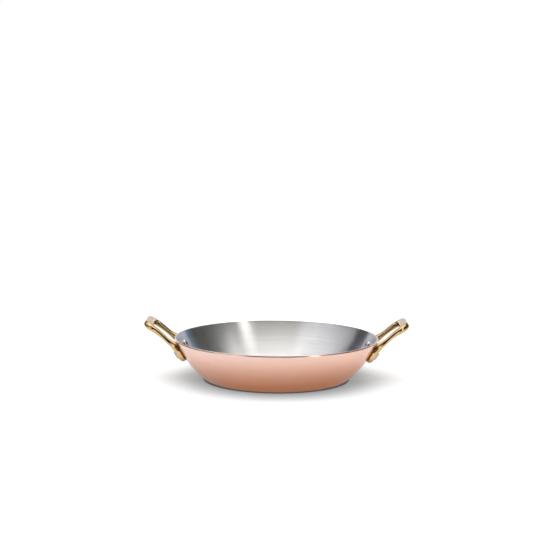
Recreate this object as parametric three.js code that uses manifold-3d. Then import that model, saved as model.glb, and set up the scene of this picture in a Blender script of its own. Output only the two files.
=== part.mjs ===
// A round copper baking dish: a copper body with a bonded steel lining and two cast brass loop handles,
// each held to the flared wall by two steel rivets. Millimetres, +Z up. The origin is the centre of the
// flat underside, and +X runs through both handles.
import * as THREE from "three";
import { mergeVertices } from "three/addons/utils/BufferGeometryUtils.js";
import Module from "manifold-3d";

// Dish
const rimDiameter = 202.6; // over the copper, before its rim is trimmed
const dishHeight = 41;
const baseDiameter = 133; // flat part of the underside
const cornerRadius = 9; // where the base turns up into the wall
const wallArcRadius = 100; // gentle bow of the flared wall
const copperThickness = 1.8;
const steelThickness = 0.2;
const rimTrim = 1.6; // height of the upright cut on the rim's outer edge
const rimEase = 0.5; // how far the cut eases over to the flat top

// Rivets, two to a handle
const rivetSpacing = 43.6;
const rivetDrop = 11.5; // rivet axis below the rim, on the outside of the wall
const shankDiameter = 5;
const holeClearance = 0.15; // all round the shank
const outerHeadDiameter = 7;
const outerHeadHeight = 1.2;
const innerHeadDiameter = 8;
const innerHeadHeight = 2.2;
const headClearance = 0.2; // under both heads, and round the outer head in its spot face

// Handle: two feet on the wall, two waisted legs and a grip bar, cast in one piece
const footWidth = 13;
const footThickness = 5.8;
const footBelowRivet = 9.5; // along the wall, to the rounded lower end
const footAboveRivet = 1.5; // along the wall, to where the leg begins
const footTaper = 8; // length over which the outer side rounds off to the lower end
const footTipThickness = 1.6; // left at the lower end
const seatDepth = 4; // how deep the foot reaches into the wall before its seat is cut
const seatClearance = 0.25; // between the foot and the wall
const spotFaceDepth = 0.5; // flat seat of the outer rivet head
const legStartPull = 8; // how long the leg keeps the wall's slope as it bends away
const legEndPull = 4.2; // how long it holds the grip's slope
const waistWidth = 6.4;
const waistThickness = 4.8;
const waistPlace = 0.48; // from the foot to the grip, as a share of the leg
const crotchShare = 0.55; // share of the leg over which its inner side rises clear of the wall
const legTopWidth = 7.4;
const legTopThickness = 6;
const gripSpacing = 38.8; // between the middles of the legs where they meet the grip bar
const gripBend = 5.4; // centreline radius between leg and bar
const gripWidth = 8.8;
const gripThickness = 7.8;
const gripReach = 24; // middle of the bar beyond the rim
const gripRise = 13.8; // middle of the bar above the rim
const gripSlope = THREE.MathUtils.degToRad(31); // tilt of the grip from level
const sectionSquareness = 2.7; // exponent of the rounded section: 2 is an ellipse

// Fineness of the round surfaces
const dishSides = 80;
const rivetSides = 20;
const sectionSides = 20;
const cornerSteps = 3;
const wallSteps = 6;
const rimSteps = 4;
const domeSteps = 4;
const footSteps = 7;
const legSteps = 10;
const bendSteps = 5;

const wasm = await Module();
wasm.setup();

// A closed geometry as a solid that can be cut, without the empty triangles at a pole.
function solidOf(geometry) {
  const bare = geometry.clone();
  bare.deleteAttribute("normal");
  bare.deleteAttribute("uv");
  const merged = mergeVertices(bare, 1e-4);
  const corners = merged.index.array;
  const kept = [];
  for (let i = 0; i < corners.length; i += 3) {
    const [a, b, c] = corners.slice(i, i + 3);
    if (a !== b && b !== c && c !== a) kept.push(a, b, c);
  }
  return new wasm.Manifold(
    new wasm.Mesh({
      numProp: 3,
      vertProperties: merged.attributes.position.array,
      triVerts: new Uint32Array(kept),
    }),
  );
}

function geometryOf(solid) {
  const { vertProperties, triVerts } = solid.getMesh();
  const geometry = new THREE.BufferGeometry();
  geometry.setAttribute("position", new THREE.BufferAttribute(vertProperties, 3));
  geometry.setIndex(new THREE.BufferAttribute(triVerts, 1));
  geometry.computeVertexNormals();
  return geometry;
}

// A profile of (radius, height) points turned about the Z axis.
function revolve(profile, sides) {
  return new THREE.LatheGeometry(profile, sides).rotateX(Math.PI / 2);
}

// Side view of the dish: the corner arc leaves the base level, and the wall arc is tangent to it and
// ends at the rim. A slope is the angle of the wall from level, and the outward normal turns with it.
const cornerCentre = new THREE.Vector2(baseDiameter / 2, cornerRadius);
const rimPoint = new THREE.Vector2(rimDiameter / 2, dishHeight);
const wallCentre = circlesMeet(cornerCentre, wallArcRadius - cornerRadius, rimPoint, wallArcRadius);
const cornerSlope = Math.atan2(cornerCentre.x - wallCentre.x, wallCentre.y - cornerCentre.y);
const wallThickness = copperThickness + steelThickness;

// The left-hand point at the given distances from two centres.
function circlesMeet(p, fromP, q, fromQ) {
  const across = q.clone().sub(p);
  const span = across.length();
  const along = (fromP ** 2 - fromQ ** 2 + span ** 2) / (2 * span);
  const aside = Math.sqrt(fromP ** 2 - along ** 2);
  across.normalize();
  return new THREE.Vector2(
    p.x + across.x * along - across.y * aside,
    p.y + across.y * along + across.x * aside,
  );
}

function arcPoint(centre, radius, slope) {
  return new THREE.Vector2(centre.x + radius * Math.sin(slope), centre.y - radius * Math.cos(slope));
}

function arcPoints(centre, radius, from, to, steps) {
  const points = [];
  for (let i = 0; i <= steps; i++) {
    points.push(arcPoint(centre, radius, THREE.MathUtils.lerp(from, to, i / steps)));
  }
  return points;
}

function slopeAtHeight(height, offset = 0) {
  return Math.acos((wallCentre.y - height) / (wallArcRadius + offset));
}

// The dish surface at an offset outside the copper, from the axis up to a height on the wall.
function dishProfile(offset, top) {
  const topSlope = slopeAtHeight(top, offset);
  const corner = arcPoints(cornerCentre, cornerRadius + offset, 0, cornerSlope, cornerSteps);
  const wall = arcPoints(wallCentre, wallArcRadius + offset, cornerSlope, topSlope, wallSteps);
  return [new THREE.Vector2(0, -offset), ...corner, ...wall.slice(1)];
}

// The wall ends at the rim's upright cut, a quarter of an ellipse that turns over to the flat top.
function copperProfile() {
  const outside = dishProfile(0, dishHeight - rimTrim);
  const cut = outside.at(-1);
  const edge = [];
  for (let i = 1; i <= rimSteps; i++) {
    const turn = (Math.PI / 2) * (i / rimSteps);
    edge.push(new THREE.Vector2(cut.x - rimEase * (1 - Math.cos(turn)), cut.y + rimTrim * Math.sin(turn)));
  }
  const bond = dishProfile(-copperThickness, dishHeight);
  return [...outside, ...edge, ...bond.reverse()];
}

function liningProfile() {
  const bond = dishProfile(-copperThickness, dishHeight);
  const inside = dishProfile(-wallThickness, dishHeight);
  return [...bond, ...inside.reverse()];
}

// A place on the outer wall, by its slope and its turn about the axis.
function wallNormal(slope, turn) {
  return new THREE.Vector3(
    Math.sin(slope) * Math.cos(turn),
    Math.sin(slope) * Math.sin(turn),
    -Math.cos(slope),
  );
}

function wallPlace(slope, turn, offset) {
  const { x: radius, y: height } = arcPoint(wallCentre, wallArcRadius, slope);
  const place = new THREE.Vector3(radius * Math.cos(turn), radius * Math.sin(turn), height);
  return place.addScaledVector(wallNormal(slope, turn), offset);
}

const rivetSlope = slopeAtHeight(dishHeight - rivetDrop);
const rivetTurn = Math.asin(rivetSpacing / 2 / arcPoint(wallCentre, wallArcRadius, rivetSlope).x);

// Sets an object modelled along +Z on a rivet's axis, with its zero on the outside of the wall.
function placeOnRivetAxis(object, side) {
  const turn = side * rivetTurn;
  object.position.copy(wallPlace(rivetSlope, turn, 0));
  object.quaternion.setFromUnitVectors(new THREE.Vector3(0, 0, 1), wallNormal(rivetSlope, turn));
  object.updateMatrix();
  return object;
}

// A round cutter on a rivet's axis, between two distances from the outside of the wall.
function rivetCutter(side, diameter, from, to) {
  const cutter = new THREE.CylinderGeometry(diameter / 2, diameter / 2, to - from, rivetSides);
  cutter.rotateX(Math.PI / 2).translate(0, 0, (from + to) / 2);
  return solidOf(cutter.applyMatrix4(placeOnRivetAxis(new THREE.Object3D(), side).matrix));
}

function rivetHole(side) {
  const reach = footThickness + wallThickness;
  return rivetCutter(side, shankDiameter + 2 * holeClearance, -reach, 2 * reach);
}

// Heads seat on the spot face of the foot outside, and inside on the lining, which is hollow under a head.
const outerSeat = footThickness - spotFaceDepth;
const innerHollow = (innerHeadDiameter / 2) ** 2 / (2 * wallArcRadius);
const innerSeat = wallThickness + innerHollow;

function rivetGeometry() {
  const outerFrom = outerSeat + headClearance;
  const outerTo = outerFrom + outerHeadHeight;
  const innerFrom = -innerSeat - headClearance;
  const shank = shankDiameter / 2;
  const inner = innerHeadDiameter / 2;
  const outer = outerHeadDiameter / 2;
  const profile = [];
  for (let i = 0; i <= domeSteps; i++) {
    const swing = (i / domeSteps) * (Math.PI / 2);
    profile.push(new THREE.Vector2(inner * Math.sin(swing), innerFrom - innerHeadHeight * Math.cos(swing)));
  }
  profile.push(new THREE.Vector2(shank, innerFrom), new THREE.Vector2(shank, outerFrom));
  profile.push(new THREE.Vector2(outer, outerFrom), new THREE.Vector2(outer, outerTo - outerHeadHeight / 2));
  profile.push(new THREE.Vector2(outer - outerHeadHeight / 2, outerTo), new THREE.Vector2(0, outerTo));
  return revolve(profile, rivetSides);
}

// A quarter round from 0 at its end to 1.
const rounded = (share) => Math.sqrt(1 - Math.max(0, 1 - share) ** 2);

// The handle follows a line of stations. Each has its point, the direction of its outer side, its width,
// and its thickness to the outer and inner side of the point. A foot's points lie on the wall, where the
// foot is widest, and its inner side reaches into the wall, which then cuts its seat.
function footStations() {
  const length = footBelowRivet + footAboveRivet;
  const tongue = footWidth / 2; // the lower end is half round
  const stations = [];
  for (let i = 1; i <= footSteps; i++) {
    const fromEnd = length * (1 - Math.cos(((i / footSteps) * Math.PI) / 2));
    const slope = rivetSlope + (fromEnd - footBelowRivet) / wallArcRadius;
    stations.push({
      point: wallPlace(slope, rivetTurn, 0),
      outward: wallNormal(slope, rivetTurn),
      width: footWidth * rounded(fromEnd / tongue),
      outer: THREE.MathUtils.lerp(footTipThickness, footThickness, rounded(fromEnd / footTaper)),
      inner: seatDepth,
    });
  }
  return stations;
}

const ease = (from, to, share) => THREE.MathUtils.lerp(from, to, THREE.MathUtils.smoothstep(share, 0, 1));

const barMiddle = new THREE.Vector3(rimDiameter / 2 + gripReach, 0, dishHeight + gripRise);
const gripUp = new THREE.Vector3(Math.cos(gripSlope), 0, Math.sin(gripSlope));
const gripOutward = new THREE.Vector3(Math.sin(gripSlope), 0, -Math.cos(gripSlope));

// Each leg leaves the wall along it and comes into the grip along the grip's slope. Its widest place moves
// from its inner side at the foot to its middle at the waist.
function legStations(foot) {
  const start = foot.point.clone().addScaledVector(foot.outward, footThickness / 2);
  const end = barMiddle.clone().addScaledVector(gripUp, -gripBend).setY(gripSpacing / 2);
  const wallUp = new THREE.Vector3(-foot.outward.z, 0, Math.hypot(foot.outward.x, foot.outward.y));
  const curve = new THREE.CubicBezierCurve3(
    start,
    start.clone().addScaledVector(wallUp, legStartPull),
    end.clone().addScaledVector(gripUp, -legEndPull),
    end,
  );
  const stations = [];
  for (let i = 1; i <= legSteps; i++) {
    const share = i / legSteps;
    const toWaist = Math.min(1, share / waistPlace);
    const toGrip = Math.max(0, (share - waistPlace) / (1 - waistPlace));
    const thickness = ease(ease(footThickness, waistThickness, toWaist), legTopThickness, toGrip);
    const outward = foot.outward.clone().lerp(gripOutward, share).normalize();
    const shift = ease(thickness / 2, 0, toWaist);
    const filled = ease(seatDepth, 0, share / crotchShare);
    stations.push({
      point: curve.getPoint(share).addScaledVector(outward, -shift),
      outward,
      width: ease(ease(footWidth, waistWidth, toWaist), legTopWidth, toGrip),
      outer: thickness / 2 + shift,
      inner: thickness / 2 - shift + filled,
    });
  }
  return stations;
}

// The bend from a leg into the grip bar, which ends half a bar short of the other leg's bend.
function bendStations(leg) {
  const stations = [];
  for (let i = 1; i <= bendSteps; i++) {
    const share = i / bendSteps;
    const swing = (share * Math.PI) / 2;
    const thickness = ease(2 * leg.outer, gripThickness, share);
    stations.push({
      point: barMiddle
        .clone()
        .addScaledVector(gripUp, gripBend * (Math.sin(swing) - 1))
        .setY(gripSpacing / 2 - gripBend * (1 - Math.cos(swing))),
      outward: gripOutward,
      width: ease(leg.width, gripWidth, share),
      outer: thickness / 2,
      inner: thickness / 2,
    });
  }
  return stations;
}

function mirrored(station) {
  const flip = (v) => new THREE.Vector3(v.x, -v.y, v.z);
  return { ...station, point: flip(station.point), outward: flip(station.outward) };
}

function handleStations() {
  const foot = footStations();
  const leg = legStations(foot[foot.length - 1]);
  const bend = bendStations(leg[leg.length - 1]);
  const half = [...foot, ...leg, ...bend];
  return [...half, ...half.map(mirrored).reverse()];
}

// A rounded section on each station, square to the centreline, skinned into one closed geometry.
function loft(stations) {
  const positions = [];
  const index = [];
  const power = (value) => Math.sign(value) * Math.abs(value) ** (2 / sectionSquareness);
  stations.forEach((station, i) => {
    const before = stations[Math.max(0, i - 1)].point;
    const after = stations[Math.min(stations.length - 1, i + 1)].point;
    const tangent = after.clone().sub(before).normalize();
    const outward = station.outward.clone();
    outward.addScaledVector(tangent, -outward.dot(tangent)).normalize();
    const across = new THREE.Vector3().crossVectors(tangent, outward);
    for (let k = 0; k < sectionSides; k++) {
      const turn = (2 * Math.PI * k) / sectionSides;
      const out = power(Math.sin(turn));
      const corner = station.point.clone();
      corner.addScaledVector(across, (station.width / 2) * power(Math.cos(turn)));
      corner.addScaledVector(outward, out * (out > 0 ? station.outer : station.inner));
      positions.push(...corner.toArray());
    }
  });
  const last = (stations.length - 1) * sectionSides;
  for (let i = 0; i < last; i += sectionSides) {
    for (let k = 0; k < sectionSides; k++) {
      const next = (k + 1) % sectionSides;
      const [a, b, c, d] = [i + k, i + next, i + sectionSides + next, i + sectionSides + k];
      index.push(a, c, b, a, d, c);
    }
  }
  for (let k = 1; k < sectionSides - 1; k++) {
    index.push(0, k, k + 1);
    index.push(last, last + k + 1, last + k);
  }
  const geometry = new THREE.BufferGeometry();
  geometry.setAttribute("position", new THREE.Float32BufferAttribute(positions, 3));
  return geometry.setIndex(index);
}

function handleGeometry() {
  const seat = [...dishProfile(seatClearance, dishHeight), new THREE.Vector2(0, dishHeight)];
  let handle = solidOf(loft(handleStations())).subtract(solidOf(revolve(seat, dishSides)));
  for (const side of [-1, 1]) {
    const spotDiameter = outerHeadDiameter + 2 * headClearance;
    handle = handle.subtract(rivetHole(side));
    handle = handle.subtract(rivetCutter(side, spotDiameter, outerSeat, 2 * footThickness));
  }
  return geometryOf(handle);
}

function drilled(profile) {
  let shell = solidOf(revolve(profile, dishSides));
  const halfTurn = new THREE.Matrix4().makeRotationZ(Math.PI);
  for (const side of [-1, 1]) {
    const hole = rivetHole(side);
    shell = shell.subtract(hole);
    shell = shell.subtract(solidOf(geometryOf(hole).applyMatrix4(halfTurn)));
  }
  return geometryOf(shell);
}

const copper = new THREE.MeshStandardMaterial({ color: 0xdfa489, roughness: 0.3, metalness: 1 });
const liningSteel = new THREE.MeshStandardMaterial({ color: 0xc4c4c6, roughness: 0.34, metalness: 1 });
const brass = new THREE.MeshStandardMaterial({ color: 0xd0a95c, roughness: 0.16, metalness: 1 });
const rivetSteel = new THREE.MeshStandardMaterial({ color: 0xb4b4b6, roughness: 0.28, metalness: 1 });

function named(name, geometry, material) {
  const mesh = new THREE.Mesh(geometry, material);
  mesh.name = name;
  return mesh;
}

const dish = new THREE.Group();
dish.add(named("copper_body", drilled(copperProfile()), copper));
dish.add(named("steel_lining", drilled(liningProfile()), liningSteel));

// The left handle is the right one turned half round, so its front and back rivets change places.
const handle = handleGeometry();
const rivet = rivetGeometry();
for (const [end, turn, rivetNames] of [
  ["right", 0, { [-1]: "front", 1: "back" }],
  ["left", Math.PI, { [-1]: "back", 1: "front" }],
]) {
  const group = new THREE.Group();
  group.rotation.z = turn;
  group.add(named(`handle_${end}`, handle, brass));
  for (const side of [-1, 1]) {
    group.add(placeOnRivetAxis(named(`rivet_${end}_${rivetNames[side]}`, rivet, rivetSteel), side));
  }
  dish.add(group);
}

export default dish;
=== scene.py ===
import math

import bmesh
import bpy
from mathutils import Euler, Matrix, Vector
from mathutils.geometry import interpolate_bezier, intersect_sphere_sphere_2d


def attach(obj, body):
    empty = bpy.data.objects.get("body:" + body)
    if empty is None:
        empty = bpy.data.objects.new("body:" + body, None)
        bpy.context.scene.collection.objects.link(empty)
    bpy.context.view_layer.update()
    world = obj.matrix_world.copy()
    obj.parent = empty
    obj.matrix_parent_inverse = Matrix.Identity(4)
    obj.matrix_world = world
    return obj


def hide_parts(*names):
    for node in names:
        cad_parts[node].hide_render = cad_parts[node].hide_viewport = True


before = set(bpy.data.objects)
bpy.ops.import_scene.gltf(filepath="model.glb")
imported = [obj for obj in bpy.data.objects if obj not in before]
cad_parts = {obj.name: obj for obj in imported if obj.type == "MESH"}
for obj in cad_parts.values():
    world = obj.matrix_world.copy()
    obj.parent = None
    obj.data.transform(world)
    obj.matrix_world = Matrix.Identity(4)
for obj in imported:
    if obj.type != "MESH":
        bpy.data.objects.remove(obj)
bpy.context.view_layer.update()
print("frame loaded:", len(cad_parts), "pieces")

mm = 0.001  # sizes of the pieces are in millimetres, and those of the patterns on them in metres
mergeGap = 0.0001  # points nearer than this become one
middleGap = 1e-6  # points of a section nearer its middle line than this lie on it


# Camera, where the photograph was taken from. Metres and degrees, and millimetres for the lens.
camera = {
    "distance": 1.501,
    "elevation": 11.65,
    "pitch": -7.94,
    "yaw": -0.1145,
    "roll": 0.509,
    "lens": 97.14,
    "sensor": 36,
}


def makeCamera():
    data = bpy.data.cameras.new("camera")
    data.lens = camera["lens"]
    data.sensor_width = camera["sensor"]
    eye = bpy.data.objects.new("camera", data)
    bpy.context.scene.collection.objects.link(eye)
    height = math.radians(camera["elevation"])
    eye.location = (0, -camera["distance"] * math.cos(height), camera["distance"] * math.sin(height))
    turn = Matrix.Rotation(math.radians(camera["yaw"]), 3, "Z")
    tip = Matrix.Rotation(math.radians(90 + camera["pitch"]), 3, "X")
    roll = Matrix.Rotation(math.radians(camera["roll"]), 3, "Z")
    eye.rotation_euler = (turn @ tip @ roll).to_euler()
    bpy.context.scene.camera = eye


makeCamera()
print("camera set")


# Side view of the dish. A corner arc leaves the level base, and the bowed wall runs on from it to the rim.
# A slope is the angle of the wall from level.
dish = {
    "rimDiameter": 202.6,
    "height": 41,
    "baseDiameter": 133,
    "cornerRadius": 9,
    "wallRadius": 100,
    "copperThickness": 1.8,
    "steelThickness": 0.2,
    "baseRings": 4,
    "cornerSteps": 10,
    "wallSteps": 26,
    "turnSteps": 240,
}
wallThickness = dish["copperThickness"] + dish["steelThickness"]
cornerCentre = Vector((dish["baseDiameter"] / 2, dish["cornerRadius"]))
rimPoint = Vector((dish["rimDiameter"] / 2, dish["height"]))
meetings = intersect_sphere_sphere_2d(
    cornerCentre, dish["wallRadius"] - dish["cornerRadius"], rimPoint, dish["wallRadius"]
)
wallCentre = min(meetings, key=lambda point: point.x)
cornerSlope = math.atan2(cornerCentre.x - wallCentre.x, wallCentre.y - cornerCentre.y)


def arcLine(centre, radius, start, end, steps):
    slopes = [start + (end - start) * i / steps for i in range(steps + 1)]
    return [centre + radius * Vector((math.sin(slope), -math.cos(slope))) for slope in slopes]


def wallSlope(height, offset=0):
    return math.acos((wallCentre.y - height) / (dish["wallRadius"] + offset))


# The line of the dish from its axis up to a height on the wall, at an offset outside the copper.
def dishLine(offset, top):
    base = [Vector((cornerCentre.x * i / dish["baseRings"], -offset)) for i in range(dish["baseRings"])]
    corner = arcLine(cornerCentre, dish["cornerRadius"] + offset, 0, cornerSlope, dish["cornerSteps"])
    topSlope = wallSlope(top, offset)
    wall = arcLine(wallCentre, dish["wallRadius"] + offset, cornerSlope, topSlope, dish["wallSteps"])
    return base + corner + wall[1:]


# A place on the outside of the wall, by its slope and its turn about the axis.
def wallNormal(slope, turn):
    level = math.sin(slope)
    return Vector((level * math.cos(turn), level * math.sin(turn), -math.cos(slope)))


def wallPlace(slope, turn, offset):
    point = wallCentre + dish["wallRadius"] * Vector((math.sin(slope), -math.cos(slope)))
    place = Vector((point.x * math.cos(turn), point.x * math.sin(turn), point.y))
    return place + offset * wallNormal(slope, turn)


# A line of (radius, height) points turned into a closed body.
def spunBody(line, steps):
    bm = bmesh.new()
    verts = [bm.verts.new((point.x, 0, point.y)) for point in line]
    edges = [bm.edges.new(pair) for pair in zip(verts, verts[1:])]
    bmesh.ops.spin(
        bm, geom=verts + edges, cent=(0, 0, 0), axis=(0, 0, 1),
        angle=2 * math.pi, steps=steps, use_merge=True,
    )
    bmesh.ops.remove_doubles(bm, verts=bm.verts, dist=mergeGap)
    bmesh.ops.recalc_face_normals(bm, faces=bm.faces)
    return bm


def makeObject(bm, name, material=None):
    bmesh.ops.scale(bm, vec=Vector((mm, mm, mm)), verts=bm.verts)
    for face in bm.faces:
        face.smooth = True
    mesh = bpy.data.meshes.new(name)
    bm.to_mesh(mesh)
    bm.free()
    if material:
        mesh.materials.append(material)
    made = bpy.data.objects.new(name, mesh)
    bpy.context.scene.collection.objects.link(made)
    return made


def placePiece(piece, node, crease):
    piece.data.set_sharp_from_angle(angle=math.radians(crease))
    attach(piece, "root")
    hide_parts(node)
    return piece


# Finishes. Patterns lie on Object coordinates, which are the dish's own frame in metres. Only the painted
# shade inside the handles' loops is an attribute of their points.
pattern = {
    "noiseRange": (0.25, 0.75),
    "toneStops": (0.3, 0.7),
    "lineRoughness": 0.6,
    "sheenTurn": 0.25,  # a quarter turn from the tangent
}


def newFinish(name, color, roughness, metallic=1.0):
    finish = bpy.data.materials.new(name)
    finish.use_nodes = True
    shader = finish.node_tree.nodes["Principled BSDF"]
    shader.inputs["Base Color"].default_value = (*color, 1)
    shader.inputs["Roughness"].default_value = roughness
    shader.inputs["Metallic"].default_value = metallic
    return finish, shader


def addNode(tree, kind, settings=None, values=None, wires=None):
    node = tree.nodes.new(kind)
    for name, value in (settings or {}).items():
        setattr(node, name, value)
    for name, value in (values or {}).items():
        node.inputs[name].default_value = value
    for name, socket in (wires or {}).items():
        tree.links.new(socket, node.inputs[name])
    return node


# Fine lines left by turning: they run round the axis, and change quickly up the wall and slowly along it.
def turnedLines(tree, linesPerMetre, sweep, detail):
    place = addNode(tree, "ShaderNodeTexCoord").outputs["Object"]
    flat = addNode(tree, "ShaderNodeVectorMath", {"operation": "MULTIPLY"}, {1: (1, 1, 0)}, {0: place})
    radius = addNode(tree, "ShaderNodeVectorMath", {"operation": "LENGTH"}, None, {0: flat.outputs[0]})
    heading = addNode(tree, "ShaderNodeVectorMath", {"operation": "NORMALIZE"}, None, {0: flat.outputs[0]})
    turn = addNode(
        tree, "ShaderNodeVectorMath", {"operation": "SCALE"}, {"Scale": sweep}, {0: heading.outputs[0]}
    )
    height = addNode(tree, "ShaderNodeSeparateXYZ", None, None, {0: place}).outputs["Z"]
    along = addNode(
        tree, "ShaderNodeMath", {"operation": "ADD"}, None, {0: radius.outputs["Value"], 1: height}
    )
    lines = addNode(
        tree, "ShaderNodeMath", {"operation": "MULTIPLY"}, {1: linesPerMetre}, {0: along.outputs[0]}
    )
    noise = addNode(
        tree, "ShaderNodeTexNoise", {"noise_dimensions": "4D"},
        {"Scale": 1, "Detail": detail, "Roughness": pattern["lineRoughness"]},
        {"Vector": turn.outputs[0], "W": lines.outputs[0]},
    )
    return noise.outputs["Fac"]


# The direction round the axis, so that the sheen stretches up the wall, across the turned lines.
def turnedTangent(tree):
    place = addNode(tree, "ShaderNodeTexCoord").outputs["Object"]
    around = addNode(
        tree, "ShaderNodeVectorMath", {"operation": "CROSS_PRODUCT"}, {0: (0, 0, 1)}, {1: place}
    )
    return addNode(
        tree, "ShaderNodeVectorMath", {"operation": "NORMALIZE"}, None, {0: around.outputs[0]}
    ).outputs[0]


def scaled(tree, value, factor):
    return addNode(tree, "ShaderNodeMath", {"operation": "MULTIPLY"}, {1: factor}, {0: value}).outputs[0]


# The usual range of a noise, spread from low to high.
def spread(tree, value, low, high):
    start, end = pattern["noiseRange"]
    return addNode(
        tree, "ShaderNodeMapRange", None,
        {"From Min": start, "From Max": end, "To Min": low, "To Max": high}, {"Value": value},
    ).outputs["Result"]


def blotches(tree, scale, detail):
    place = addNode(tree, "ShaderNodeTexCoord").outputs["Object"]
    return addNode(
        tree, "ShaderNodeTexNoise", None, {"Scale": scale, "Detail": detail}, {"Vector": place}
    ).outputs["Fac"]


def twoTones(tree, share, first, second):
    ramp = addNode(tree, "ShaderNodeValToRGB", None, None, {"Fac": share})
    elements = ramp.color_ramp.elements
    for i, tone in enumerate((first, second)):
        elements[i].position = pattern["toneStops"][i]
        elements[i].color = (*tone, 1)
    return ramp.outputs["Color"]


def relief(tree, height, distance, strength, under=None):
    wires = {"Height": height}
    if under:
        wires["Normal"] = under
    return addNode(
        tree, "ShaderNodeBump", None, {"Strength": strength, "Distance": distance}, wires
    ).outputs["Normal"]


# What turned lines do to a metal: a fine relief, and a sheen that stretches across them.
def turnedSheen(tree, shader, lines, piece):
    tree.links.new(spread(tree, lines, *piece["roughness"]), shader.inputs["Roughness"])
    tree.links.new(relief(tree, lines, piece["lineDepth"], piece["lineStrength"]), shader.inputs["Normal"])
    tree.links.new(turnedTangent(tree), shader.inputs["Tangent"])
    shader.inputs["Anisotropic"].default_value = piece["sheenStretch"]
    shader.inputs["Anisotropic Rotation"].default_value = pattern["sheenTurn"]


# Copper body: a spun shell with its rim trimmed upright and eased over to the flat top.
copperBody = {
    "rimTrim": 1.6,
    "rimEase": 0.5,
    "easeSteps": 12,
    "crease": 25,
    # the copper's tone with painted reflection, at the rim, in the middle and at the base
    "rimToneWithPaintedReflection": (0.78, 0.56, 0.49),
    "middleToneWithPaintedReflection": (0.86, 0.46, 0.325),
    "baseToneWithPaintedReflection": (1, 0.345, 0.13),
    "middlePlace": 0.5,
    "paintedReflectionLean": 0.2,
    "stain": 0.03,
    "stainScale": 35,
    "stainDetail": 3,
    "roughness": (0.2, 0.29),
    "linesPerMetre": 900,
    "lineSweep": 2.5,
    "lineDetail": 3,
    "lineDepth": 0.000004,
    "lineStrength": 0.5,
    "sheenStretch": 0.5,
}


def copperLine():
    trim = copperBody["rimTrim"]
    outside = dishLine(0, dish["height"] - trim)
    cut = outside[-1]
    edge = []
    for i in range(1, copperBody["easeSteps"] + 1):
        turn = math.pi / 2 * i / copperBody["easeSteps"]
        inward = copperBody["rimEase"] * (1 - math.cos(turn))
        edge.append(cut + Vector((-inward, trim * math.sin(turn))))
    bond = dishLine(-dish["copperThickness"], dish["height"])
    return outside + edge + bond[::-1]


# The copper's own tone with a painted reflection over it: pale and pinkish at the rim, and a warmer orange
# towards the base and a little to the right, with faint stains.
def copperToneAndPaintedReflection(tree):
    place = addNode(tree, "ShaderNodeTexCoord").outputs["Object"]
    # the painted reflection runs up the wall and leans a little to the right
    slant = (-copperBody["paintedReflectionLean"] / (dish["rimDiameter"] * mm), 0, 1 / (dish["height"] * mm))
    rise = addNode(tree, "ShaderNodeVectorMath", {"operation": "DOT_PRODUCT"}, {1: slant}, {0: place})
    clouds = blotches(tree, copperBody["stainScale"], copperBody["stainDetail"])
    stain = spread(tree, clouds, -copperBody["stain"], copperBody["stain"])
    share = addNode(
        tree, "ShaderNodeMath", {"operation": "ADD"}, None, {0: rise.outputs["Value"], 1: stain}
    ).outputs[0]
    tones = addNode(tree, "ShaderNodeValToRGB", None, None, {"Fac": share})
    ramp = tones.color_ramp
    ramp.elements[0].color = (*copperBody["baseToneWithPaintedReflection"], 1)
    ramp.elements[1].color = (*copperBody["rimToneWithPaintedReflection"], 1)
    ramp.elements.new(copperBody["middlePlace"]).color = (*copperBody["middleToneWithPaintedReflection"], 1)
    return tones.outputs["Color"]


def copperFinish():
    finish, shader = newFinish("polishedCopper", copperBody["middleToneWithPaintedReflection"], copperBody["roughness"][0])
    tree = finish.node_tree
    lines = turnedLines(tree, copperBody["linesPerMetre"], copperBody["lineSweep"], copperBody["lineDetail"])
    tree.links.new(copperToneAndPaintedReflection(tree), shader.inputs["Base Color"])
    turnedSheen(tree, shader, lines, copperBody)
    return finish


# Steel lining: a thin sheet bonded to the inside, brushed in circles.
steelLining = {
    "edgeRound": 0.15,
    "roundSteps": 4,
    "crease": 35,
    "tone": (0.66, 0.66, 0.665),
    "deepTone": (0.6, 0.6, 0.605),
    "roughness": (0.26, 0.33),
    "linesPerMetre": 700,
    "lineSweep": 1.6,
    "lineDetail": 5,
    "lineDepth": 0.000012,
    "lineStrength": 0.6,
    "sheenStretch": 1.0,
}


def liningLine():
    radius = steelLining["edgeRound"]
    bond = dishLine(-dish["copperThickness"], dish["height"])
    inside = dishLine(-wallThickness, dish["height"] - radius)
    edgeCentre = Vector((inside[-1].x + radius, inside[-1].y))
    edge = arcLine(edgeCentre, radius, math.pi, 1.5 * math.pi, steelLining["roundSteps"])
    return bond + edge + inside[-2::-1]


def liningFinish():
    finish, shader = newFinish("brushedSteel", steelLining["tone"], steelLining["roughness"][0])
    tree = finish.node_tree
    lines = turnedLines(
        tree, steelLining["linesPerMetre"], steelLining["lineSweep"], steelLining["lineDetail"]
    )
    tones = twoTones(tree, lines, steelLining["tone"], steelLining["deepTone"])
    tree.links.new(tones, shader.inputs["Base Color"])
    turnedSheen(tree, shader, lines, steelLining)
    return finish


# Rivets: a domed head inside the dish, and a low head outside in a flat seat on the handle's foot.
rivet = {
    "spacing": 43.6,
    "belowRim": 11.5,
    "shankDiameter": 5,
    "holeDiameter": 5.3,
    "innerDiameter": 8,
    "innerHeight": 2.2,
    "innerLift": 0.2,
    "outerDiameter": 7,
    "outerHeight": 1.2,
    "outerRound": 0.7,
    "seatDepth": 0.5,
    "seatDiameter": 7.4,
    "turnSteps": 48,
    "domeSteps": 12,
    "crease": 35,
    "tone": (0.62, 0.61, 0.6),
    "deepTone": (0.54, 0.53, 0.52),
    "roughness": (0.14, 0.24),
    "wearScale": 900,
    "wearDetail": 4,
    "wearDepth": 0.00002,
    "wearStrength": 0.3,
}
rivetSlope = wallSlope(dish["height"] - rivet["belowRim"])
rivetRadius = wallPlace(rivetSlope, 0, 0).x
rivetTurn = math.asin(rivet["spacing"] / 2 / rivetRadius)


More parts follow.
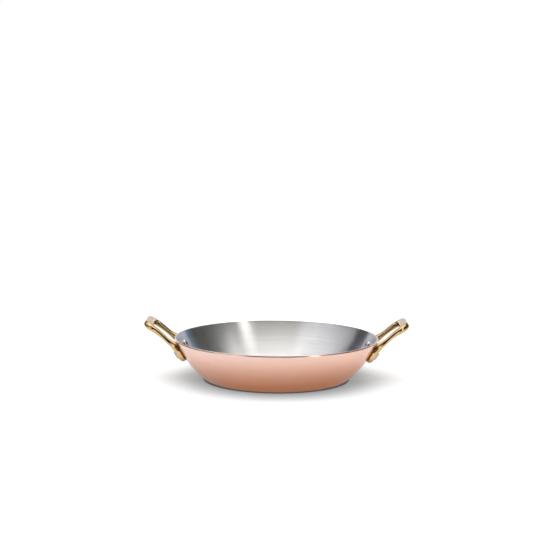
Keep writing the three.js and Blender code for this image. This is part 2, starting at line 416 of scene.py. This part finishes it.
# Brass handle: two feet on the wall, two waisted legs and a grip bar, cast in one piece.
handle = {
    "footWidth": 13,
    "footThickness": 5.8,
    "footBelow": 9.5,
    "footAbove": 1.5,
    "footTaper": 8,
    "footTip": 1.6,
    "wallGap": 0.1,
    "seatShare": 0.74,  # width of the foot's seat on the wall, against the foot's full width
    "legStartPull": 8,
    "legEndPull": 4.2,
    "waistWidth": 6.4,
    "waistThickness": 4.8,
    "waistPlace": 0.48,
    "seatDepth": 4,
    "crotchShare": 0.55,  # part of the leg over which the seat's depth fades out
    "legTopWidth": 7.4,
    "legTopThickness": 6,
    "gripSpacing": 38.8,
    "gripBend": 8,
    "gripWidth": 9.2,
    "gripThickness": 8.4,
    "gripReach": 24,
    "gripRise": 13.8,
    "gripSlope": 31,
    "squareness": 2.7,
    "gripSquareness": 2.1,
    "sectionSides": 48,
    "footSteps": 26,
    "legSteps": 40,
    "bendSteps": 18,
    "barSteps": 6,
    "crease": 35,
    "tone": (0.615, 0.447, 0.245),
    "deepTone": (0.53, 0.365, 0.176),
    # colour of the painted shade inside the loop
    "paintedShadeTone": (0.09, 0.05, 0.02),
    "paintedLoopShade": (-14, 12),  # where the painted shade starts and where it is full, outwards from the rim
    "paintedShadeFade": 0.75,
    "roughness": (0.06, 0.12),
    "stainScale": 120,
    "stainDetail": 4,
    "waveScale": 160,
    "waveDetail": 1,
    "waveDepth": 0.0004,
    "waveStrength": 0.25,
    "polishScale": 2200,
    "polishDetail": 2,
    "polishDepth": 0.00001,
    "polishStrength": 0.2,
}


def rivetMatrix(turn):
    tilt = Vector((0, 0, 1)).rotation_difference(wallNormal(rivetSlope, turn))
    return Matrix.Translation(wallPlace(rivetSlope, turn, 0)) @ tilt.to_matrix().to_4x4()


def rivetLine():
    shank = rivet["shankDiameter"] / 2
    inner = rivet["innerDiameter"] / 2
    innerSeat = -wallThickness - rivet["innerLift"]
    outer = rivet["outerDiameter"] / 2
    outerSeat = handle["footThickness"] - rivet["seatDepth"]
    outerTop = outerSeat + rivet["outerHeight"]
    edgeCentre = Vector((outer - rivet["outerRound"], outerTop - rivet["outerRound"]))
    swings = [math.pi / 2 * i / rivet["domeSteps"] for i in range(rivet["domeSteps"] + 1)]
    dome = [Vector((inner * math.sin(a), innerSeat - rivet["innerHeight"] * math.cos(a))) for a in swings]
    stem = [Vector((shank, innerSeat)), Vector((shank, outerSeat)), Vector((outer, outerSeat))]
    edge = arcLine(edgeCentre, rivet["outerRound"], math.pi / 2, math.pi, rivet["domeSteps"])
    return dome + stem + edge + [Vector((0, outerTop))]


def rivetFinish():
    finish, shader = newFinish("rivetSteel", rivet["tone"], rivet["roughness"][0])
    tree = finish.node_tree
    wear = blotches(tree, rivet["wearScale"], rivet["wearDetail"])
    tree.links.new(twoTones(tree, wear, rivet["tone"], rivet["deepTone"]), shader.inputs["Base Color"])
    tree.links.new(spread(tree, wear, *rivet["roughness"]), shader.inputs["Roughness"])
    tree.links.new(relief(tree, wear, rivet["wearDepth"], rivet["wearStrength"]), shader.inputs["Normal"])
    return finish


# Cuts round holes or seats on rivet axes, each given as (turn, diameter, start, end).
def cutRounds(piece, rounds):
    bm = bmesh.new()
    for turn, diameter, start, end in rounds:
        place = rivetMatrix(turn) @ Matrix.Translation((0, 0, (start + end) / 2))
        bmesh.ops.create_cone(
            bm, cap_ends=True, segments=rivet["turnSteps"], radius1=diameter / 2, radius2=diameter / 2,
            depth=end - start, matrix=place,
        )
    cutter = makeObject(bm, "cutter")
    cut = piece.modifiers.new("cut", "BOOLEAN")
    cut.operation = "DIFFERENCE"
    cut.solver = "EXACT"
    cut.object = cutter
    depsgraph = bpy.context.evaluated_depsgraph_get()
    mesh = bpy.data.meshes.new_from_object(piece.evaluated_get(depsgraph))
    piece.modifiers.clear()
    piece.data = mesh
    bpy.data.objects.remove(cutter)


def ease(start, end, share):
    share = min(1, max(0, share))
    return start + (end - start) * share * share * (3 - 2 * share)


# A quarter round from 0 at its end to 1.
def rounded(share):
    short = max(0, 1 - share)
    return math.sqrt(1 - short ** 2)


# Each station of the handle has its point, the direction of its outer side, its width, its thickness to the
# outer and inner side of the point, the share of its width that the inner side keeps, and how square its
# section is. A foot's point lies on the wall, and its inner side is later pressed out onto the wall.
def footStations():
    length = handle["footBelow"] + handle["footAbove"]
    tongue = handle["footWidth"] / 2
    stations = []
    for i in range(1, handle["footSteps"] + 1):
        fromEnd = length * (1 - math.cos(i / handle["footSteps"] * math.pi / 2))
        slope = rivetSlope + (fromEnd - handle["footBelow"]) / dish["wallRadius"]
        rise = rounded(fromEnd / handle["footTaper"])
        stations.append({
            "point": wallPlace(slope, rivetTurn, 0),
            "outward": wallNormal(slope, rivetTurn),
            "width": handle["footWidth"] * rounded(fromEnd / tongue),
            "outer": handle["footTip"] + (handle["footThickness"] - handle["footTip"]) * rise,
            "inner": handle["seatDepth"],
            "seat": handle["seatShare"],
            "square": handle["squareness"],
        })
    return stations


gripSlope = math.radians(handle["gripSlope"])
gripUp = Vector((math.cos(gripSlope), 0, math.sin(gripSlope)))
gripOutward = Vector((math.sin(gripSlope), 0, -math.cos(gripSlope)))
barMiddle = Vector((rimPoint.x + handle["gripReach"], 0, rimPoint.y + handle["gripRise"]))


# Each leg leaves the wall along it and comes into the grip along the grip's slope.
def legStations(foot):
    outward = foot["outward"]
    start = foot["point"] + handle["footThickness"] / 2 * outward
    end = barMiddle - handle["gripBend"] * gripUp
    end.y = handle["gripSpacing"] / 2
    wallUp = Vector((-outward.z, 0, outward.xy.length))
    points = interpolate_bezier(
        start, start + handle["legStartPull"] * wallUp, end - handle["legEndPull"] * gripUp, end,
        handle["legSteps"] + 1,
    )
    stations = []
    for i in range(1, handle["legSteps"] + 1):
        share = i / handle["legSteps"]
        toWaist = share / handle["waistPlace"]
        toGrip = (share - handle["waistPlace"]) / (1 - handle["waistPlace"])
        waist = ease(handle["footThickness"], handle["waistThickness"], toWaist)
        thickness = ease(waist, handle["legTopThickness"], toGrip)
        width = ease(ease(handle["footWidth"], handle["waistWidth"], toWaist), handle["legTopWidth"], toGrip)
        outer = outward.lerp(gripOutward, share).normalized()
        shift = ease(thickness / 2, 0, toWaist)
        stations.append({
            "point": points[i] - shift * outer,
            "outward": outer,
            "width": width,
            "outer": thickness / 2 + shift,
            "inner": thickness / 2 - shift + ease(handle["seatDepth"], 0, share / handle["crotchShare"]),
            "seat": ease(handle["seatShare"], 1, share / handle["crotchShare"]),
            "square": handle["squareness"],
        })
    return stations


# The bend from a leg into the grip bar, and the bar as far as its middle.
def gripStations(leg):
    stations = []
    for i in range(1, handle["bendSteps"] + 1):
        share = i / handle["bendSteps"]
        swing = share * math.pi / 2
        point = barMiddle + handle["gripBend"] * (math.sin(swing) - 1) * gripUp
        point.y = handle["gripSpacing"] / 2 - handle["gripBend"] * (1 - math.cos(swing))
        thickness = ease(2 * leg["outer"], handle["gripThickness"], share)
        stations.append({
            "point": point,
            "outward": gripOutward,
            "width": ease(leg["width"], handle["gripWidth"], share),
            "outer": thickness / 2,
            "inner": thickness / 2,
            "seat": 1,
            "square": ease(handle["squareness"], handle["gripSquareness"], share),
        })
    bend = stations[-1]
    for i in range(1, handle["barSteps"]):
        point = bend["point"].copy()
        point.y *= 1 - i / handle["barSteps"]
        stations.append({**bend, "point": point})
    return stations


def acrossMiddle(station):
    flip = Matrix.Scale(-1, 3, (0, 1, 0))
    return {**station, "point": flip @ station["point"], "outward": flip @ station["outward"]}


def handleStations():
    foot = footStations()
    leg = legStations(foot[-1])
    half = foot + leg + gripStations(leg[-1])
    middle = {**half[-1], "point": barMiddle}
    return half + [middle] + [acrossMiddle(station) for station in reversed(half)]


# A circle shaped to the rounded section of a station, square to the centreline. Its side inside the loop
# gets painted shade, most of all towards the grip, fading out towards the section's upper and lower edges.
def sectionRing(bm, stations, i):
    station = stations[i]
    shade = bm.verts.layers.float["paintedLoopShade"]
    start, end = handle["paintedLoopShade"]
    share = (station["point"].x - rimPoint.x - start) / (end - start)
    before = stations[max(0, i - 1)]["point"]
    after = stations[min(len(stations) - 1, i + 1)]["point"]
    tangent = (after - before).normalized()
    outward = station["outward"] - station["outward"].dot(tangent) * tangent
    outward.normalize()
    across = tangent.cross(outward)
    isEnd = i in (0, len(stations) - 1)
    ring = bmesh.ops.create_circle(bm, cap_ends=isEnd, radius=1, segments=handle["sectionSides"])["verts"]
    power = 2 / station["square"]
    for vert in ring:
        side = math.copysign(abs(vert.co.x) ** power, vert.co.x)
        out = math.copysign(abs(vert.co.y) ** power, vert.co.y)
        isOuter = out > middleGap
        reach = station["outer"] if isOuter else station["inner"]
        half = station["width"] / 2 * (1 if isOuter else station["seat"])
        vert.co = station["point"] + side * half * across + out * reach * outward
        vert[shade] = ease(0, 1, share) * max(0, -side) * ease(1, 0, abs(out) / handle["paintedShadeFade"])
    return list({edge for vert in ring for edge in vert.link_edges})


# What lies inside the wall is pressed out onto it, and is the foot's seat.
def seatOnWall(bm):
    for vert in bm.verts:
        radius = vert.co.xy.length
        out = Vector((radius, vert.co.z)) - wallCentre
        if out.length < dish["wallRadius"] + handle["wallGap"]:
            seat = wallCentre + (dish["wallRadius"] + handle["wallGap"]) * out.normalized()
            vert.co = (vert.co.x * seat.x / radius, vert.co.y * seat.x / radius, seat.y)


def handleBody(turn):
    bm = bmesh.new()
    bm.verts.layers.float.new("paintedLoopShade")
    stations = handleStations()
    rings = [sectionRing(bm, stations, i) for i in range(len(stations))]
    for ring, nextRing in zip(rings, rings[1:]):
        bmesh.ops.bridge_loops(bm, edges=ring + nextRing)
    seatOnWall(bm)
    bmesh.ops.rotate(bm, verts=bm.verts, cent=(0, 0, 0), matrix=Matrix.Rotation(turn, 3, "Z"))
    bmesh.ops.recalc_face_normals(bm, faces=bm.faces)
    return bm


# Polished brass with faint stains, and painted shade that darkens the inside of the loop.
def brassFinish():
    finish, shader = newFinish("castBrass", handle["tone"], handle["roughness"][0])
    tree = finish.node_tree
    stain = blotches(tree, handle["stainScale"], handle["stainDetail"])
    wave = blotches(tree, handle["waveScale"], handle["waveDetail"])
    polish = blotches(tree, handle["polishScale"], handle["polishDetail"])
    shade = addNode(tree, "ShaderNodeAttribute", {"attribute_name": "paintedLoopShade"}).outputs["Fac"]
    # the painted shade inside the loop is mixed over the stained brass
    tones = addNode(
        tree, "ShaderNodeMix", {"data_type": "RGBA"}, {"B": (*handle["paintedShadeTone"], 1)},
        {"Factor": shade, "A": twoTones(tree, stain, handle["tone"], handle["deepTone"])},
    )
    tree.links.new(tones.outputs["Result"], shader.inputs["Base Color"])
    tree.links.new(spread(tree, stain, *handle["roughness"]), shader.inputs["Roughness"])
    casting = relief(tree, wave, handle["waveDepth"], handle["waveStrength"])
    surface = relief(tree, polish, handle["polishDepth"], handle["polishStrength"], casting)
    tree.links.new(surface, shader.inputs["Normal"])
    return finish


copper = makeObject(spunBody(copperLine(), dish["turnSteps"]), "copperBody", copperFinish())
lining = makeObject(spunBody(liningLine(), dish["turnSteps"]), "steelLining", liningFinish())
print("dish spun:", len(copper.data.vertices), "and", len(lining.data.vertices), "points")

rivetSteel = rivetFinish()
brass = brassFinish()
deep = 2 * (handle["footThickness"] + wallThickness)  # well past the foot and the wall
seat = handle["footThickness"] - rivet["seatDepth"]
allTurns = []
ends = (
    ("Right", 0, {-1: "Front", 1: "Back"}),
    ("Left", math.pi, {-1: "Back", 1: "Front"}),
)
for end, halfTurn, sides in ends:
    grip = makeObject(handleBody(halfTurn), "handle" + end, brass)
    turns = [halfTurn + side * rivetTurn for side in sides]
    cutRounds(grip, [(turn, rivet["holeDiameter"], -deep, deep) for turn in turns])
    cutRounds(grip, [(turn, rivet["seatDiameter"], seat, deep) for turn in turns])
    placePiece(grip, "handle_" + end.lower(), handle["crease"])
    for side, depth in sides.items():
        body = spunBody(rivetLine(), rivet["turnSteps"])
        bmesh.ops.transform(body, matrix=rivetMatrix(halfTurn + side * rivetTurn), verts=body.verts)
        pin = makeObject(body, "rivet" + end + depth, rivetSteel)
        placePiece(pin, "rivet_" + end.lower() + "_" + depth.lower(), rivet["crease"])
    allTurns += turns
holes = [(turn, rivet["holeDiameter"], -deep, deep) for turn in allTurns]
cutRounds(copper, holes)
cutRounds(lining, holes)
placePiece(copper, "copper_body", copperBody["crease"])
placePiece(lining, "steel_lining", steelLining["crease"])
copper.visible_diffuse = False  # the floor sees the lining through it, so that the shadow stays grey
print("handles and rivets set")


# Studio, in metres and degrees: a pale floor, a wide soft light overhead, and cards only the metal sees.
# A card is given by its azimuth from the front towards the right, its elevation, and the glow at both ends.
# An end may lean: its azimuth then grows by that share of the elevation.
studio = {
    "floorSize": 60,
    "floorDrop": 0.0002,
    "floorTone": (0.9, 0.9, 0.9),
    "floorRoughness": 0.9,
    "floorLift": 0.26,
    "floorShine": 0.3,
    "paintedShadeRing": (70.5, 73.5),  # millimetres, where the floor's lift starts and is full; inside it the floor is darker, painted contact shade
    "skyFill": 0.4,
    "softLight": 2.0,
    "softWidth": 70,
    "softTilt": (4, -4, 0),
    "cardDistance": 3,
    "cardSteps": (32, 12),
    "endSlack": 0.01,
    "cards": {
        "zenith": {"azimuth": (125, 270), "elevation": (72, 90), "glow": ((3, 3, 2.9),) * 2},
        "overheadBack": {"azimuth": (125, 270), "elevation": (58, 72), "glow": ((1.35, 1.34, 1.31),) * 2},
        "overhead": {"azimuth": (-90, 49), "elevation": (58, 72), "glow": ((1.92, 1.9, 1.84),) * 2},
        "overheadTop": {"azimuth": (-90, 49), "elevation": (72, 90), "glow": ((1.45, 1.44, 1.39),) * 2},
        "overheadRight": {"azimuth": (49, 80), "elevation": (58, 90), "glow": ((1.45, 1.44, 1.41),) * 2},
        "overheadSide": {
            "azimuth": (80, 102), "elevation": (51, 90), "glow": ((1.85, 1.84, 1.8), (2.05, 2.03, 2)),
        },
        "overheadFar": {
            "azimuth": (102, 125), "elevation": (51, 90), "glow": ((1.5, 1.49, 1.46), (1.9, 1.88, 1.85)),
        },
        "frontDark": {"azimuth": (-34, 37.5), "elevation": (-6, 34), "glow": ((0.03, 0.025, 0.02),) * 2},
        "frontFill": {"azimuth": (-34, 37.5), "elevation": (34, 44), "glow": ((0.54, 0.5, 0.43),) * 2},
        "frontSoft": {
            "azimuth": (-34, 37.5), "elevation": (44, 58), "glow": ((0.75, 0.71, 0.63), (0.57, 0.54, 0.48)),
        },
        "rightStrip": {"azimuth": (37.5, 49), "elevation": (-6, 62), "glow": ((2.6, 2.54, 2.35),) * 2},
        "rightDusk": {
            "azimuth": (49, 80), "elevation": (12, 42), "glow": ((0.12, 0.12, 0.115), (0.07, 0.07, 0.065)),
        },
        "rightHaze": {"azimuth": (49, 80), "elevation": (42, 56), "glow": ((0.65, 0.63, 0.6),) * 2},
        "rightLow": {"azimuth": (49, 80), "elevation": (-6, 12), "glow": ((0.3, 0.28, 0.26),) * 2},
        "rightDark": {
            "azimuth": (80, 118), "elevation": (-6, 42), "lean": (0, 0.65),
            "glow": ((0.12, 0.12, 0.11), (0.06, 0.06, 0.045)),
        },
        "rightRise": {
            "azimuth": (80, 118), "elevation": (42, 50), "lean": (0, 0.65),
            "glow": ((0.2, 0.2, 0.19), (0.5, 0.5, 0.49)),
        },
        "rightBlue": {
            "azimuth": (118, 130), "elevation": (-6, 44), "lean": (0.65, 0.65),
            "glow": ((0.14, 0.22, 0.13), (0.06, 0.18, 0.42)),
        },
        "backRight": {
            "azimuth": (130, 160), "elevation": (-6, 44), "lean": (0.65, 0),
            "glow": ((0.74, 0.76, 0.88), (0.85, 0.88, 1)),
        },
        "backPale": {"azimuth": (160, 200), "elevation": (14, 44), "glow": ((1, 1.05, 1.2),) * 2},
        "backLow": {"azimuth": (160, 200), "elevation": (-6, 14), "glow": ((0.84, 0.84, 0.88),) * 2},
        "backLeft": {
            "azimuth": (200, 227), "elevation": (-6, 44), "lean": (0, -0.6),
            "glow": ((1, 1, 1.08), (0.82, 0.82, 0.9)),
        },
        "leftDark": {
            "azimuth": (-133, -112), "elevation": (-6, 44), "lean": (-0.6, -0.35),
            "glow": ((0.05, 0.05, 0.055),) * 2,
        },
        "leftSoft": {
            "azimuth": (-112, -50), "elevation": (21, 47), "lean": (-0.35, 0),
            "glow": ((0.95, 0.95, 1), (0.95, 0.95, 0.98)),
        },
        "leftHigh": {
            "azimuth": (-130, -50), "elevation": (47, 58), "glow": ((1.5, 1.5, 1.53), (1.85, 1.85, 1.88)),
        },
        "leftLow": {
            "azimuth": (-112, -50), "elevation": (12, 21), "lean": (-0.35, 0),
            "glow": ((0.06, 0.05, 0.05),) * 2,
        },
        "leftFoot": {
            "azimuth": (-112, -72), "elevation": (-6, 12), "lean": (-0.35, 0),
            "glow": ((0.06, 0.05, 0.05),) * 2,
        },
        "leftPale": {"azimuth": (-72, -50), "elevation": (-6, 12), "glow": ((1, 0.98, 0.96),) * 2},
        "leftGap": {"azimuth": (-50, -34), "elevation": (21, 38), "glow": ((0.06, 0.05, 0.05),) * 2},
        "leftGapSoft": {"azimuth": (-50, -34), "elevation": (38, 58), "glow": ((1.38, 1.38, 1.41),) * 2},
        "leftStrip": {"azimuth": (-50, -34), "elevation": (-6, 21), "glow": ((1.15, 1.15, 1.13),) * 2},
    },
}


def makeFloor():
    bm = bmesh.new()
    bmesh.ops.create_grid(bm, x_segments=1, y_segments=1, size=studio["floorSize"] / 2)
    bmesh.ops.translate(bm, vec=(0, 0, -studio["floorDrop"]), verts=bm.verts)
    mesh = bpy.data.meshes.new("floor")
    bm.to_mesh(mesh)
    bm.free()
    finish, shader = newFinish("paleFloor", studio["floorTone"], studio["floorRoughness"], 0)
    shader.inputs["Specular IOR Level"].default_value = 0
    shader.inputs["Emission Color"].default_value = (1, 1, 1, 1)
    tree = finish.node_tree
    path = addNode(tree, "ShaderNodeLightPath")
    place = addNode(tree, "ShaderNodeTexCoord").outputs["Object"]
    away = addNode(tree, "ShaderNodeVectorMath", {"operation": "LENGTH"}, None, {0: place}).outputs["Value"]
    near, far = (radius * mm for radius in studio["paintedShadeRing"])
    # No lift under the dish and at its edge: painted shade that keeps the contact shadow dark.
    clear = addNode(
        tree, "ShaderNodeMapRange", {"interpolation_type": "SMOOTHSTEP"},
        {"From Min": near, "From Max": far, "To Max": studio["floorLift"]}, {"Value": away},
    ).outputs["Result"]
    seen = addNode(
        tree, "ShaderNodeMath", {"operation": "MULTIPLY"}, None, {0: path.outputs["Is Camera Ray"], 1: clear}
    ).outputs[0]
    shine = scaled(tree, path.outputs["Is Glossy Ray"], studio["floorShine"])
    lift = addNode(tree, "ShaderNodeMath", {"operation": "ADD"}, None, {0: seen, 1: shine})
    tree.links.new(lift.outputs[0], shader.inputs["Emission Strength"])
    mesh.materials.append(finish)
    floor = bpy.data.objects.new("floor", mesh)
    bpy.context.scene.collection.objects.link(floor)


def makeSky():
    world = bpy.data.worlds.new("studio")
    bpy.context.scene.world = world
    world.use_nodes = True
    tree = world.node_tree
    path = addNode(tree, "ShaderNodeLightPath")
    seen = path.outputs["Is Camera Ray"]
    for kind in ("Is Glossy Ray", "Is Transmission Ray"):
        seen = addNode(
            tree, "ShaderNodeMath", {"operation": "MAXIMUM"}, None, {0: seen, 1: path.outputs[kind]}
        ).outputs[0]
    level = addNode(
        tree, "ShaderNodeMapRange", None, {"To Min": studio["skyFill"], "To Max": 1}, {"Value": seen}
    )
    back = tree.nodes["Background"]
    back.inputs["Color"].default_value = (1, 1, 1, 1)
    tree.links.new(level.outputs["Result"], back.inputs["Strength"])


def makeSoftLight():
    light = bpy.data.lights.new("softLight", "SUN")
    light.energy = studio["softLight"]
    light.angle = math.radians(studio["softWidth"])
    lamp = bpy.data.objects.new("softLight", light)
    lamp.rotation_euler = Euler([math.radians(angle) for angle in studio["softTilt"]])
    lamp.visible_glossy = False
    bpy.context.scene.collection.objects.link(lamp)


def makeCard(name, card):
    low, high = (math.radians(angle) for angle in card["elevation"])
    start, end = (math.radians(angle - 90) for angle in card["azimuth"])
    roundSteps, upSteps = studio["cardSteps"]
    bm = bmesh.new()
    line = arcLine(Vector((0, 0)), studio["cardDistance"], math.pi / 2 + low, math.pi / 2 + high, upSteps)
    verts = [bm.verts.new((point.x * math.cos(start), point.x * math.sin(start), point.y)) for point in line]
    edges = [bm.edges.new(pair) for pair in zip(verts, verts[1:])]
    bmesh.ops.spin(
        bm, geom=verts + edges, cent=(0, 0, 0), axis=(0, 0, 1), angle=end - start, steps=roundSteps
    )
    glow = bm.verts.layers.float_color.new("glow")
    firstGlow, lastGlow = (Vector(color) for color in card["glow"])
    firstLean, lastLean = card.get("lean", (0, 0))
    for vert in bm.verts:
        share = (math.atan2(vert.co.y, vert.co.x) - start) % (2 * math.pi) / (end - start)
        share = 0 if share > 1 + studio["endSlack"] else min(1, share)  # the start may measure a full turn
        vert[glow] = (*firstGlow.lerp(lastGlow, share), 1)
        lean = firstLean + (lastLean - firstLean) * share
        height = math.asin(vert.co.z / studio["cardDistance"])
        vert.co.rotate(Matrix.Rotation(lean * height, 3, "Z"))
    mesh = bpy.data.meshes.new(name)
    bm.to_mesh(mesh)
    bm.free()
    finish = bpy.data.materials.new(name)
    finish.use_nodes = True
    tree = finish.node_tree
    tree.nodes.remove(tree.nodes["Principled BSDF"])
    color = addNode(tree, "ShaderNodeAttribute", {"attribute_name": "glow"}).outputs["Color"]
    light = addNode(tree, "ShaderNodeEmission", None, {"Strength": 1}, {"Color": color})
    tree.links.new(light.outputs[0], tree.nodes["Material Output"].inputs["Surface"])
    mesh.materials.append(finish)
    board = bpy.data.objects.new(name, mesh)
    bpy.context.scene.collection.objects.link(board)
    board.visible_camera = False
    board.visible_diffuse = False
    board.visible_shadow = False


makeFloor()
makeSky()
makeSoftLight()
for name, card in studio["cards"].items():
    makeCard(name, card)
bpy.context.scene.view_settings.view_transform = "Standard"
print("studio lit with", len(studio["cards"]), "cards")
